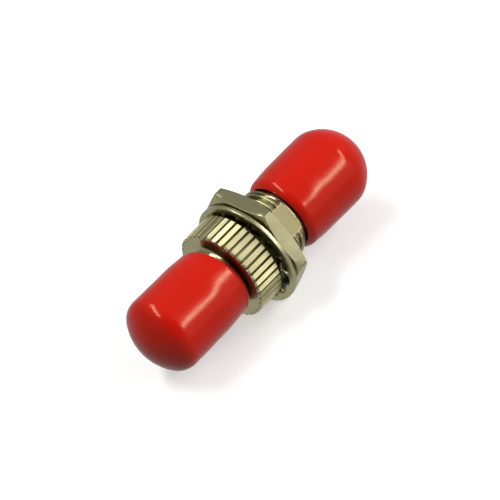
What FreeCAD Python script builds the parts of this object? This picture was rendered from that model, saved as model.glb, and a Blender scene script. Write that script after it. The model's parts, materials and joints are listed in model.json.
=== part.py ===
"""Panel-mount fibre optic adapter with a bayonet barrel at each end, closed by two dust caps.

Millimetres and degrees. The axis of the adapter is X, with the threaded shank and its nut towards +X.
The origin is on the axis, in the rear face of the knurled flange, which is the face a panel lies against.
Angles round the axis count from +Z towards -Y.
"""
import FreeCAD, Part
import math
import os

import Sketcher

# Driving sizes, one row of the sheet each
SIZES = {
    # Turned body: knurled flange
    "flange_diameter": 12.2,
    "flange_width": 3.75,
    "knurl_count": 40,
    "knurl_depth": 0.42,
    "knurl_mouth_width": 0.5,
    "knurl_floor_width": 0.16,
    # Turned body: threaded shank with one flat, a 3/8-32 thread left plain at its major diameter
    "thread_diameter": 9.525,
    "thread_length": 6.6,
    "thread_chamfer": 0.5,
    "flat_depth": 0.72,
    "flat_angle": 52,
    # Turned body: the two bayonet barrels, each with a shoulder at its root
    "barrel_wall": 0.75,
    "front_barrel_length": 10.75,
    "rear_barrel_length": 9.4,
    "barrel_chamfer": 0.2,
    "bore_lead_in": 0.25,
    "keyway_width": 1.1,
    "keyway_length": 3.0,
    "web_length": 3.0,
    "shoulder_length": 1.9,
    "shoulder_drop": 0.15,
    # Bayonet pins pressed into the barrels
    "pin_diameter": 1.6,
    "pin_setback": 4.0,
    "pin_height": 0.65,
    "pin_recess": 0.1,
    # Split alignment sleeve and the two halves of its holder
    "sleeve_bore": 2.5,
    "sleeve_wall": 0.35,
    "sleeve_length": 11.4,
    "sleeve_slit": 0.35,
    "sleeve_clearance": 0.05,
    "sleeve_end_play": 0.1,
    "holder_wall": 0.55,
    "holder_end_wall": 1.2,
    "holder_entry_clearance": 0.2,
    "holder_countersink": 0.4,
    "holder_collar_height": 0.45,
    "holder_collar_length": 0.9,
    "holder_collar_clearance": 0.1,
    "holder_joint_gap": 0.1,
    # Lock washer with twisted inner teeth, hanging loose and askew on the shank
    "washer_clearance": 0.42,
    "washer_thickness": 0.52,
    "washer_ring_width": 0.95,
    "washer_tooth_count": 16,
    "washer_tooth_length": 0.97,
    "washer_tooth_width": 1.25,
    "washer_tooth_twist": 15,
    "washer_tooth_root": 0.25,
    "washer_first_tooth": 6.75,
    "washer_tilt": 2.45,
    "washer_lean_angle": 65,
    "washer_shift": 0.34,
    "washer_shift_angle": 115,
    # Hex nut
    "nut_across_flats": 13.6,
    "nut_thickness": 2.0,
    "nut_chamfer_angle": 23,
    "nut_countersink": 0.3,
    "nut_clearance": 0.05,
    # Dust caps, dip moulded in soft vinyl
    "cap_clearance": 0.05,
    "front_cap_gap": 1.07,
    "front_cap_rim_length": 0.5,
    "front_cap_rim_drop": 0.25,
    "front_cap_side_wall": 0.865,
    "front_cap_end_wall": 0.95,
    "front_cap_dome_setback": 0.3,
    "front_cap_dome": 3.26,
    "front_cap_corner": 2.2,
    "rear_cap_gap": 0.45,
    "rear_cap_rim_length": 1.1,
    "rear_cap_rim_drop": 0.55,
    "rear_cap_side_wall": 0.95,
    "rear_cap_end_wall": 1.0,
    "rear_cap_dome_setback": 0.3,
    "rear_cap_dome": 4.6,
    "rear_cap_corner": 3.5,
}

# Straight runs that stand for each of a dome's two arcs
OUTER_DOME_STEPS = 2
INNER_DOME_STEPS = 1

FULL_TURN = 360
RIGHT_ANGLE = 90
FRONT = -1
REAR = 1

doc = FreeCAD.newDocument("fibre_adapter")
sheet = doc.addObject("Spreadsheet::Sheet", "Sizes")
bodies = []


class Size:
    """A number together with the sheet expression that gives it."""

    def __init__(self, value, text):
        self.value = value
        self.text = text

    def __add__(self, other):
        other = as_size(other)
        return Size(self.value + other.value, f"({self.text} + {other.text})")

    def __sub__(self, other):
        other = as_size(other)
        return Size(self.value - other.value, f"({self.text} - {other.text})")

    def __mul__(self, other):
        other = as_size(other)
        return Size(self.value * other.value, f"({self.text} * {other.text})")

    def __truediv__(self, other):
        other = as_size(other)
        return Size(self.value / other.value, f"({self.text} / {other.text})")

    def __neg__(self):
        return Size(-self.value, f"(-1 * {self.text})")


def as_size(value):
    return value if isinstance(value, Size) else Size(float(value), str(value))


def sine(angle):
    return Size(math.sin(math.radians(angle.value)), f"sin({angle.text} * 1 deg)")


def cosine(angle):
    return Size(math.cos(math.radians(angle.value)), f"cos({angle.text} * 1 deg)")


def tangent(angle):
    return sine(angle) / cosine(angle)


def arc_tangent(slope):
    return Size(math.degrees(math.atan(slope.value)), f"(atan({slope.text}) / 1 deg)")


def hypotenuse(first, second):
    square = first * first + second * second
    return Size(math.sqrt(square.value), f"sqrt({square.text})")


def fill_sheet():
    """Writes each driving size into its own row, with its name as the alias."""
    for row, (name, value) in enumerate(SIZES.items(), start=1):
        sheet.set(f"A{row}", name)
        sheet.set(f"B{row}", str(value))
        sheet.setAlias(f"B{row}", name)
    doc.recompute()


def size(name):
    return Size(float(sheet.get(name)), f"Sizes.{name}")


def half(name):
    return size(name) / 2


def new_body(label):
    body = doc.addObject("PartDesign::Body", label)
    body.Label = label
    bodies.append(body)
    return body


def origin_feature(body, role):
    return next(item for item in body.Origin.OriginFeatures if item.Role == role)


def new_sketch(body, plane, name):
    sketch = body.newObject("Sketcher::SketchObject", f"{body.Name}_{name}")
    sketch.AttachmentSupport = [(origin_feature(body, plane), "")]
    sketch.MapMode = "FlatFace"
    return sketch


def constrain(sketch, constraint, value):
    """Adds a dimension to a sketch and binds it to the sheet."""
    number = sketch.addConstraint(constraint)
    sketch.setExpression(f"Constraints[{number}]", value.text)


def place_point(sketch, geometry, end, across, up):
    constrain(sketch, Sketcher.Constraint("DistanceX", -1, 1, geometry, end, across.value), across)
    constrain(sketch, Sketcher.Constraint("DistanceY", -1, 1, geometry, end, up.value), up)


def draw_outline(sketch, corners):
    """Draws a closed outline. A corner is (across, up), or (across, up, centre, radius) where the run
    from it to the next corner is an arc of less than half a turn about that centre."""
    first = sketch.GeometryCount
    ends = []
    for place, corner in enumerate(corners):
        following = corners[(place + 1) % len(corners)]
        start = FreeCAD.Vector(corner[0].value, corner[1].value, 0)
        finish = FreeCAD.Vector(following[0].value, following[1].value, 0)
        if len(corner) == 2:
            sketch.addGeometry(Part.LineSegment(start, finish))
            ends.append((1, 2))
            continue
        centre = FreeCAD.Vector(corner[2][0].value, corner[2][1].value, 0)
        turn_start = math.atan2(start.y - centre.y, start.x - centre.x)
        turn_finish = math.atan2(finish.y - centre.y, finish.x - centre.x)
        circle = Part.Circle(centre, FreeCAD.Vector(0, 0, 1), corner[3].value)
        if (turn_finish - turn_start) % (2 * math.pi) < math.pi:
            sketch.addGeometry(Part.ArcOfCircle(circle, turn_start, turn_finish))
            ends.append((1, 2))
        else:
            sketch.addGeometry(Part.ArcOfCircle(circle, turn_finish, turn_start))
            ends.append((2, 1))
    for place, corner in enumerate(corners):
        following = (place + 1) % len(corners)
        joint = (first + place, ends[place][1], first + following, ends[following][0])
        sketch.addConstraint(Sketcher.Constraint("Coincident", *joint))
        place_point(sketch, first + place, ends[place][0], corner[0], corner[1])
        if len(corner) > 2:
            constrain(sketch, Sketcher.Constraint("Radius", first + place, corner[3].value), corner[3])


def draw_circle(sketch, across, up, radius):
    centre = FreeCAD.Vector(across.value, up.value, 0)
    number = sketch.addGeometry(Part.Circle(centre, FreeCAD.Vector(0, 0, 1), radius.value))
    place_point(sketch, number, 3, across, up)
    constrain(sketch, Sketcher.Constraint("Radius", number, radius.value), radius)


def rectangle(across_low, across_high, up_low, up_high):
    return [
        (across_low, up_low),
        (across_high, up_low),
        (across_high, up_high),
        (across_low, up_high),
    ]


def revolve(body, name, corners, kind="PartDesign::Revolution", axis="H_Axis"):
    """Turns an outline of (along, radius) corners about a sketch axis, as material or as a cut."""
    sketch = new_sketch(body, "XY_Plane", f"{name}_outline")
    for outline in corners:
        draw_outline(sketch, outline)
    feature = body.newObject(kind, f"{body.Name}_{name}")
    feature.Profile = sketch
    feature.ReferenceAxis = (sketch, [axis])
    feature.Angle = FULL_TURN
    body.Tip = feature
    return feature


def extrude(body, name, sketch, kind, length, reverse=False, midplane=False):
    feature = body.newObject(kind, f"{body.Name}_{name}")
    feature.Profile = sketch
    feature.Type = "Length"
    feature.setExpression("Length", length.text)
    feature.Reversed = reverse
    feature.Midplane = midplane
    body.Tip = feature
    return feature


def repeat_round_axis(body, name, feature, count):
    pattern = body.newObject("PartDesign::PolarPattern", f"{body.Name}_{name}")
    pattern.Originals = [feature]
    pattern.Axis = (origin_feature(body, "X_Axis"), [""])
    pattern.Angle = FULL_TURN
    pattern.setExpression("Occurrences", count.text)
    body.Tip = pattern
    return pattern


def direction(angle):
    """The Y and Z parts of the direction at an angle round the axis."""
    return -sine(angle), cosine(angle)


fill_sheet()

ZERO = as_size(0)

# Places along the axis that more than one piece uses
flange_front = -size("flange_width")
thread_end = size("thread_length")
front_mouth = flange_front - size("front_barrel_length")
rear_mouth = thread_end + size("rear_barrel_length")
mating_plane = (front_mouth + rear_mouth) / 2
pin_places = {FRONT: front_mouth + size("pin_setback"), REAR: rear_mouth - size("pin_setback")}

# Radii that more than one piece uses, from the sleeve outwards to the caps
sleeve_radius = half("sleeve_bore") + size("sleeve_wall")
holder_bore_radius = sleeve_radius + size("sleeve_clearance")
holder_radius = holder_bore_radius + size("holder_wall")
collar_radius = holder_radius + size("holder_collar_height")
bore_radius = collar_radius + size("holder_collar_clearance")
barrel_radius = bore_radius + size("barrel_wall")
pin_tip_radius = barrel_radius + size("pin_height")
shoulder_radius = pin_tip_radius - size("shoulder_drop")
# the rims of the pins' flat tips stand out furthest
pin_reach = hypotenuse(pin_tip_radius, half("pin_diameter"))
cap_bore_radius = pin_reach + size("cap_clearance")
thread_radius = half("thread_diameter")
washer_tooth_radius = thread_radius + size("washer_clearance")
washer_inner_radius = washer_tooth_radius + size("washer_tooth_length")
washer_radius = washer_inner_radius + size("washer_ring_width")

# Room that the askew washer takes up each way along the axis
washer_reach = (
    washer_radius * tangent(size("washer_tilt"))
    + half("washer_tooth_width") * sine(size("washer_tooth_twist"))
    + half("washer_thickness") * cosine(size("washer_tooth_twist"))
)
nut_front = washer_reach * 2
nut_rear = nut_front + size("nut_thickness")


def make_adapter_body():
    """One turned piece: two barrels, a knurled flange and a shank with a flat, bored to an inner web."""
    body = new_body("adapter_body")
    flange = half("flange_diameter")
    edge = size("barrel_chamfer")
    lead_in = size("bore_lead_in")
    front_shoulder = flange_front - size("shoulder_length")
    rear_shoulder = thread_end + size("shoulder_length")
    web_front = mating_plane - half("web_length")
    web_rear = mating_plane + half("web_length")
    section = [
        (front_mouth, bore_radius + lead_in),
        (front_mouth, barrel_radius - edge),
        (front_mouth + edge, barrel_radius),
        (front_shoulder, barrel_radius),
        (front_shoulder, shoulder_radius),
        (flange_front, shoulder_radius),
        (flange_front, flange),
        (ZERO, flange),
        (ZERO, thread_radius),
        (thread_end - size("thread_chamfer"), thread_radius),
        (thread_end, thread_radius - size("thread_chamfer")),
        (thread_end, shoulder_radius),
        (rear_shoulder, shoulder_radius),
        (rear_shoulder, barrel_radius),
        (rear_mouth - edge, barrel_radius),
        (rear_mouth, barrel_radius - edge),
        (rear_mouth, bore_radius + lead_in),
        (rear_mouth - lead_in, bore_radius),
        (web_rear, bore_radius),
        (web_rear, holder_radius),
        (web_front, holder_radius),
        (web_front, bore_radius),
        (front_mouth + lead_in, bore_radius),
    ]
    revolve(body, "turning", [section])
    cut_shank_flat(body)
    cut_keyways(body)
    drill_pin_holes(body)
    cut_knurl(body)


def cut_shank_flat(body):
    """Mills one flat along the shank, so that the adapter can't turn in a D-shaped panel hole."""
    across, up = direction(size("flat_angle"))
    near = thread_radius - size("flat_depth")
    far = size("thread_diameter")
    side = thread_radius
    sketch = new_sketch(body, "YZ_Plane", "flat_outline")
    draw_outline(sketch, [
        (across * near + up * side, up * near - across * side),
        (across * far + up * side, up * far - across * side),
        (across * far - up * side, up * far + across * side),
        (across * near - up * side, up * near + across * side),
    ])
    extrude(body, "flat", sketch, "PartDesign::Pocket", thread_end, reverse=True)


def cut_keyways(body):
    """Slots the top of each barrel from its mouth, for the key of a plug."""
    width = half("keyway_width")
    length = size("keyway_length")
    sketch = new_sketch(body, "XY_Plane", "keyway_outline")
    draw_outline(sketch, rectangle(front_mouth, front_mouth + length, -width, width))
    draw_outline(sketch, rectangle(rear_mouth - length, rear_mouth, -width, width))
    extrude(body, "keyways", sketch, "PartDesign::Pocket", barrel_radius * 2, reverse=True)


def drill_pin_holes(body):
    """Drills each barrel across, for its two bayonet pins."""
    sketch = new_sketch(body, "XZ_Plane", "pin_hole_outline")
    for place in pin_places.values():
        draw_circle(sketch, place, ZERO, half("pin_diameter"))
    extrude(body, "pin_holes", sketch, "PartDesign::Pocket", pin_tip_radius * 2, midplane=True)


def cut_knurl(body):
    """Cuts one straight groove along the flange and repeats it all round."""
    mouth = half("knurl_mouth_width")
    floor = half("knurl_floor_width")
    rim = half("flange_diameter")
    bottom = rim - size("knurl_depth")
    # the groove's sides keep their slope out past the rim
    outer = rim + size("knurl_depth")
    outer_width = mouth * 2 - floor
    sketch = new_sketch(body, "YZ_Plane", "knurl_outline")
    draw_outline(sketch, [(-floor, bottom), (floor, bottom), (outer_width, outer), (-outer_width, outer)])
    groove = extrude(body, "knurl_groove", sketch, "PartDesign::Pocket", size("flange_width"))
    repeat_round_axis(body, "knurl", groove, size("knurl_count"))


def make_bayonet_pin(label, end, side):
    """A short round pin pressed into one wall of a barrel, from outside."""
    body = new_body(label)
    inner = (bore_radius + size("pin_recess")) * side
    tip = pin_tip_radius * side
    revolve(body, "turning", [rectangle(ZERO, half("pin_diameter"), inner, tip)], axis="V_Axis")
    body.setExpression("Placement.Base.x", pin_places[end].text)


def make_alignment_sleeve():
    """The ceramic tube, split along its length, that lines up the two ferrules."""
    body = new_body("alignment_sleeve")
    sketch = new_sketch(body, "YZ_Plane", "ring_outline")
    draw_circle(sketch, ZERO, ZERO, sleeve_radius)
    draw_circle(sketch, ZERO, ZERO, half("sleeve_bore"))
    extrude(body, "tube", sketch, "PartDesign::Pad", size("sleeve_length"), midplane=True)
    slit = half("sleeve_slit")
    slit_sketch = new_sketch(body, "YZ_Plane", "slit_outline")
    draw_outline(slit_sketch, rectangle(-slit, slit, ZERO, size("sleeve_bore")))
    extrude(body, "slit", slit_sketch, "PartDesign::Pocket", size("sleeve_length") * 2, midplane=True)
    body.setExpression("Placement.Base.x", mating_plane.text)


def make_sleeve_holder(label, end):
    """Half of the sleeve's holder: a tube pressed into the web up to its collar, with a guiding end hole."""
    body = new_body(label)
    collar_start = half("web_length")
    collar_end = collar_start + size("holder_collar_length")
    pocket_end = half("sleeve_length") + size("sleeve_end_play")
    tube_end = pocket_end + size("holder_end_wall")
    entry = half("sleeve_bore") + size("holder_entry_clearance")
    countersink = size("holder_countersink")
    stations = [
        (half("holder_joint_gap"), holder_radius),
        (collar_start, holder_radius),
        (collar_start, collar_radius),
        (collar_end, collar_radius),
        (collar_end, holder_radius),
        (tube_end, holder_radius),
        (tube_end, entry + countersink),
        (tube_end - countersink, entry),
        (pocket_end, entry),
        (pocket_end, holder_bore_radius),
        (half("holder_joint_gap"), holder_bore_radius),
    ]
    section = [(along * end, radius) for along, radius in stations]
    revolve(body, "turning", [section])
    body.setExpression("Placement.Base.x", mating_plane.text)


def make_lock_washer():
    """A stamped ring with twisted inner teeth. It hangs on the shank, leaning against the nut at its top."""
    body = new_body("lock_washer")
    sketch = new_sketch(body, "YZ_Plane", "ring_outline")
    draw_circle(sketch, ZERO, ZERO, washer_radius)
    draw_circle(sketch, ZERO, ZERO, washer_inner_radius)
    extrude(body, "ring", sketch, "PartDesign::Pad", size("washer_thickness"), midplane=True)
    # a tooth seen along the radius is a flat strip turned by the twist
    turn_sine = sine(size("washer_tooth_twist"))
    turn_cosine = cosine(size("washer_tooth_twist"))
    wide = half("washer_tooth_width")
    thick = half("washer_thickness")
    strip = [(thick, wide), (-thick, wide), (-thick, -wide), (thick, -wide)]
    tooth_sketch = new_sketch(body, "XY_Plane", "tooth_outline")
    tooth_sketch.setExpression("AttachmentOffset.Base.z", washer_tooth_radius.text)
    draw_outline(tooth_sketch, [
        (turn_cosine * flat - turn_sine * edge, turn_sine * flat + turn_cosine * edge)
        for flat, edge in strip
    ])
    reach = size("washer_tooth_length") + size("washer_tooth_root")
    tooth = extrude(body, "tooth", tooth_sketch, "PartDesign::Pad", reach)
    repeat_round_axis(body, "teeth", tooth, size("washer_tooth_count"))
    # lean and sideways hang
    lean = size("washer_lean_angle")
    hinge = FreeCAD.Vector(0, cosine(lean).value, sine(lean).value)
    tilt = FreeCAD.Rotation(hinge, size("washer_tilt").value)
    spin = FreeCAD.Rotation(FreeCAD.Vector(1, 0, 0), size("washer_first_tooth").value)
    across, up = direction(size("washer_shift_angle"))
    shift = size("washer_shift")
    place = FreeCAD.Vector(washer_reach.value, (across * shift).value, (up * shift).value)
    body.Placement = FreeCAD.Placement(place, tilt * spin)


def make_hex_nut():
    """A thin hexagon nut, chamfered at both ends and lying on a flat, with its thread left plain."""
    body = new_body("hex_nut")
    flat = half("nut_across_flats")
    corner = flat / cosine(as_size(30))
    sketch = new_sketch(body, "YZ_Plane", "hexagon_outline")
    sketch.setExpression("AttachmentOffset.Base.z", nut_front.text)
    corners = [direction(as_size(30 + 60 * number)) for number in range(6)]
    draw_outline(sketch, [(across * corner, up * corner) for across, up in corners])
    extrude(body, "hexagon", sketch, "PartDesign::Pad", size("nut_thickness"))
    # each chamfer is a cone that starts at the middle of the flats
    rise = corner * 2 - flat
    depth = rise * tangent(size("nut_chamfer_angle"))
    revolve(body, "chamfers", [
        [(nut_front, flat), (nut_front + depth, flat + rise), (nut_front, flat + rise)],
        [(nut_rear, flat), (nut_rear, flat + rise), (nut_rear - depth, flat + rise)],
    ], kind="PartDesign::Groove")
    bore = thread_radius + size("nut_clearance")
    countersink = size("nut_countersink")
    revolve(body, "bore", [[
        (nut_front, ZERO),
        (nut_front, bore + countersink),
        (nut_front + countersink, bore),
        (nut_rear - countersink, bore),
        (nut_rear, bore + countersink),
        (nut_rear, ZERO),
    ]], kind="PartDesign::Groove")


def dome(base, end, radius, height, corner, steps):
    """The outline of a blunt dome from its base to its tip: a corner arc, then a flatter arc that meets it
    without a kink, each walked in equal turns."""
    rise = radius - corner
    crown = (height * height + rise * rise - corner * corner) / ((height - corner) * 2)
    crown_centre = height - crown
    # both arcs meet on the line through their centres
    meeting = arc_tangent(rise / -crown_centre)
    outline = []
    for step in range(steps):
        turn = as_size(RIGHT_ANGLE) - (as_size(RIGHT_ANGLE) - meeting) * step / steps
        outline.append((base + corner * cosine(turn) * end, rise + corner * sine(turn)))
    for step in range(steps):
        turn = meeting - meeting * step / steps
        outline.append((base + (crown_centre + crown * cosine(turn)) * end, crown * sine(turn)))
    outline.append((base + height * end, ZERO))
    return outline


def make_dust_cap(name, end, seat, mouth):
    """A vinyl cap that pushes over a barrel and its pins: a drawn-in rim, a straight wall and a closed dome."""
    body = new_body(f"{name}_dust_cap")
    radius = cap_bore_radius + size(f"{name}_cap_side_wall")
    wall = size(f"{name}_cap_end_wall")
    corner = size(f"{name}_cap_corner")
    height = size(f"{name}_cap_dome")
    rim = seat + size(f"{name}_cap_gap") * end
    base = mouth - size(f"{name}_cap_dome_setback") * end
    outside = dome(base, end, radius, height, corner, OUTER_DOME_STEPS)
    inside = dome(base, end, cap_bore_radius, height - wall, corner - wall, INNER_DOME_STEPS)
    section = [
        (rim, cap_bore_radius),
        (rim, radius - size(f"{name}_cap_rim_drop")),
        (rim + size(f"{name}_cap_rim_length") * end, radius),
    ]
    revolve(body, "moulding", [section + outside + inside[::-1]])


def check_model():
    """Stops if anything in the document failed, or if a cut removed nothing."""
    for item in doc.Objects:
        if "Invalid" in item.State or "Error" in item.State:
            raise RuntimeError(f"{item.Label} failed: {item.State}")
        if item.TypeId in ("PartDesign::Pocket", "PartDesign::Groove"):
            if item.Shape.Volume >= item.BaseFeature.Shape.Volume:
                raise RuntimeError(f"{item.Label} cuts nothing")
    for body in bodies:
        if body.Shape.isNull() or not body.Shape.isValid() or len(body.Shape.Solids) != 1:
            raise RuntimeError(f"{body.Label} is not one sound solid")


def write_parts():
    os.makedirs("parts", exist_ok=True)
    for body in bodies:
        body.Shape.exportStep(f"parts/{body.Label}.step")
        box = body.Shape.BoundBox
        print(f"{body.Label}: {body.Shape.Volume:.3f} mm3, x {box.XMin:.2f} to {box.XMax:.2f}")


make_adapter_body()
for barrel_name, barrel_end in (("front", FRONT), ("rear", REAR)):
    make_bayonet_pin(f"{barrel_name}_bayonet_pin_left", barrel_end, 1)
    make_bayonet_pin(f"{barrel_name}_bayonet_pin_right", barrel_end, -1)
    make_sleeve_holder(f"{barrel_name}_sleeve_holder", barrel_end)
make_alignment_sleeve()
make_lock_washer()
make_hex_nut()
make_dust_cap("front", FRONT, flange_front, front_mouth)
make_dust_cap("rear", REAR, thread_end, rear_mouth)
doc.recompute()
check_model()
write_parts()
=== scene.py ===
import functools
import json
import math

import bmesh
import bpy
from bpy.props import FloatProperty, FloatVectorProperty, IntProperty, PointerProperty
from mathutils import Matrix, Quaternion, Vector, noise


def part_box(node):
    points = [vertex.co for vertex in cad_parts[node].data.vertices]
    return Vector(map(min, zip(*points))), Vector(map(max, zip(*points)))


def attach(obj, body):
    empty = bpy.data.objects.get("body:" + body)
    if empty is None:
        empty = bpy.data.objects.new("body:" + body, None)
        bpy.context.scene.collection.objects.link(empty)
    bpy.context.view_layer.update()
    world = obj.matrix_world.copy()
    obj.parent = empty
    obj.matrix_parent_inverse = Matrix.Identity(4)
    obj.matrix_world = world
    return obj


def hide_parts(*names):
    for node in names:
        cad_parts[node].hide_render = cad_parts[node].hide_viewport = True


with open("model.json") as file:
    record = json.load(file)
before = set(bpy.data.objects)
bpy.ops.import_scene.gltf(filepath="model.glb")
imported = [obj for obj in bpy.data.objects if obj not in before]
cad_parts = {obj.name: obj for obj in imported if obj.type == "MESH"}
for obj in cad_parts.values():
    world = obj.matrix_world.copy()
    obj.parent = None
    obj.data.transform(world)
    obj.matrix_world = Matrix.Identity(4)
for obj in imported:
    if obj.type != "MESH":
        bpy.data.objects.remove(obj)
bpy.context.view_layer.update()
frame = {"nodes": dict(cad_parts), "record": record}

# Panel-mount fibre optic adapter: a turned and knurled body with a bayonet barrel at each end, a lock
# washer and a nut on its threaded shank, and a vinyl dust cap on each barrel.
# Metres. The axis is X with the shank towards +X, and turns round it count from +Z towards -Y.

bl_info = {
    "name": "Bayonet fibre adapter",
    "version": (1, 0, 0),
    "blender": (4, 5, 0),
    "location": "3D View > Sidebar > Adapter",
    "description": "Makes the pieces of a panel-mount fibre optic adapter, and a stage for them",
    "category": "Object",
}

MM = 0.001
FULL_TURN = 2 * math.pi
SIXTH_TURN = FULL_TURN / 6
FRONT = -1
REAR = 1

# Points nearer than this are one point
MERGE_DISTANCE = 1e-7
# Edges that bend more than this stay crisp
CREASE = math.radians(50)
# Straight runs in a rounded corner, in half a dome, along a cap's side and round plain turned pieces
ARC_STEPS = 2
DOME_STEPS = 12
SIDE_STEPS = 16
ROUND_STEPS = 96
# A rounding takes up at most this share of the shorter side beside it
ROUNDING_SHARE = 0.45

mounts = {mount["name"]: mount["dims"] for mount in frame["record"]["mounts"]}
THREAD_RADIUS = mounts["panel_shank"]["r_mm"]
THREAD_LENGTH = mounts["panel_shank"]["length_mm"]
FERRULE_RADIUS = mounts["front_ferrule_bore"]["r_mm"]


# Properties

def linear(code):
    """Scene-linear colour of an sRGB hex value such as #D42014."""
    shares = [int(code[place:place + 2], 16) / 255 for place in (1, 3, 5)]
    return [share / 12.92 if share <= 0.04045 else ((share + 0.055) / 1.055) ** 2.4 for share in shares]


def length(name, description, millimetres):
    return FloatProperty(
        name=name, description=description, default=millimetres * MM, min=0, precision=5, unit="LENGTH")


def turn(name, description, degrees):
    return FloatProperty(
        name=name, description=description, default=math.radians(degrees), subtype="ANGLE", unit="ROTATION")


def colour(name, description, code):
    return FloatVectorProperty(
        name=name, description=description, default=linear(code), size=3, min=0, max=1, subtype="COLOR")


def strength(name, description, value):
    return FloatProperty(name=name, description=description, default=value, min=0)


class TurnedBodySizes(bpy.types.PropertyGroup):
    """Sizes of the turned body."""

    flange_radius: length("Flange radius", "Radius over the ridges of the knurl", 6.1)
    flange_width: length("Flange width", "Width of the knurled flange along the axis", 3.75)
    groove_count: IntProperty(name="Grooves", description="Grooves round the flange", default=40, min=3)
    groove_depth: length("Groove depth", "Depth of a groove of the knurl", 0.42)
    groove_mouth: length("Groove mouth", "Width of a groove at the rim", 0.32)
    groove_floor: length("Groove floor", "Width of a groove at its floor", 0.16)
    ridge_dip: length("Ridge dip", "How far the middle of a ridge lies below its edges", 0.025)
    notch_mouth: length("Notch mouth", "Width of a groove where it opens at the flange's front", 0.56)
    notch_depth: length("Notch depth", "Depth of a groove at the flange's front, where it runs out", 0.18)
    notch_length: length("Notch length", "How far a groove's wider opening reaches along it", 0.4)
    thread_radius: length("Thread radius", "Radius over the thread's crests", THREAD_RADIUS)
    thread_length: length("Thread length", "Length of the shank from the flange", THREAD_LENGTH)
    thread_pitch: length("Thread pitch", "Advance of the thread in one turn", 25.4 / 32)
    thread_depth: length("Thread depth", "Depth of the thread below its crests", 0.3)
    thread_chamfer: length("Thread chamfer", "Chamfer at the free end of the thread", 0.5)
    flat_depth: length("Flat depth", "Depth of the shank's flat below the crests", 0.72)
    flat_turn: turn("Flat turn", "Place of the shank's flat round the axis", 52)
    shoulder_radius: length("Shoulder radius", "Radius of the shoulder at each barrel's root", 4.0)
    shoulder_length: length("Shoulder length", "Length of the shoulder at each barrel's root", 1.9)
    barrel_radius: length("Barrel radius", "Outer radius of both barrels", 3.5)
    barrel_edge: length("Barrel edge", "Chamfer round the mouth of a barrel", 0.2)
    bore_radius: length("Bore radius", "Radius of the bore in both barrels", 2.75)
    bore_lead_in: length("Bore lead-in", "Chamfer at the mouth of a bore", 0.25)
    web_radius: length("Web hole radius", "Radius of the hole in the inner web", 2.2)
    web_length: length("Web length", "Thickness of the web between the bores", 3.0)
    keyway_width: length("Keyway width", "Width of the slot for a plug's key", 1.1)
    keyway_length: length("Keyway length", "Length of the slot from the barrel's mouth", 3.0)
    root_fillet: length("Root fillet", "Fillet between the front shoulder and the flange", 0.35)
    edge_round: length("Edge rounding", "Rounding of the body's turned edges", 0.05)


class InnerPieceSizes(bpy.types.PropertyGroup):
    """Sizes of the pins, the split sleeve and its holder."""

    pin_edge: length("Pin edge", "Rounding of a pin's tip", 0.15)
    sleeve_slit: length("Sleeve slit", "Width of the slit along the sleeve", 0.35)
    sleeve_edge: length("Sleeve edge", "Rounding of the sleeve's ends", 0.1)
    holder_bore: length("Holder bore", "Radius of the holder round the sleeve", 1.65)
    holder_radius: length("Holder radius", "Outer radius of the holder", 2.2)
    holder_end_wall: length("Holder end wall", "Thickness of the holder's guiding end", 1.2)
    holder_entry: length("Holder entry", "Radius of the hole that guides a ferrule in", 1.45)
    holder_countersink: length("Holder countersink", "Countersink of that hole", 0.4)
    holder_collar: length("Holder collar", "Length of the collar that stops at the web", 0.9)
    holder_edge: length("Holder edge", "Rounding of the holder's edges", 0.06)


class LockWasherSizes(bpy.types.PropertyGroup):
    """Sizes and place of the lock washer."""

    radius: length("Radius", "Outer radius of the washer", 7.095)
    ring_width: length("Ring width", "Width of the ring outside the teeth", 0.76)
    thickness: length("Thickness", "Thickness of the sheet", 0.5)
    tooth_count: IntProperty(name="Teeth", description="Teeth round the inside", default=16, min=3)
    tooth_length: length("Tooth length", "How far a tooth reaches inwards from the ring", 1.16)
    tooth_width: length("Tooth width", "Width of a tooth", 1.25)
    tooth_twist: turn("Tooth twist", "How far a tooth is twisted out of the ring", 15)
    first_tooth: turn("First tooth", "Place of the first tooth round the axis", 6.75)
    lean: turn("Lean", "How far the loose washer leans over", 2.45)
    lean_turn: turn("Lean turn", "Side that leans to the rear", 65)
    shift: length("Shift", "How far the loose washer hangs to one side", 0.34)
    shift_turn: turn("Shift turn", "Side that the washer hangs to", 115)
    # painted shade on the teeth fades in over this reach
    shade_reach: length("Oil reach", "How far down a tooth the ring's bright plating fades", 0.5)
    edge_round: length("Edge rounding", "Rounding of the stamped edges", 0.03)


class HexNutSizes(bpy.types.PropertyGroup):
    """Sizes of the hex nut."""

    across_flats: length("Across flats", "Width of the hexagon", 13.6)
    corner_round: length("Corner rounding", "Rounding of the hexagon's corners", 0.25)
    chamfer_turn: turn("Chamfer", "Slope of the chamfer on the corners", 23)
    chamfer_start: length("Chamfer start", "How far inside the flats the chamfer starts", 0.08)
    countersink: length("Countersink", "Countersink of the nut's thread", 0.3)
    thread_clearance: length("Thread clearance", "Clearance between the two threads", 0.05)
    edge_round: length("Edge rounding", "Rounding of the nut's edges", 0.03)


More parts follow.
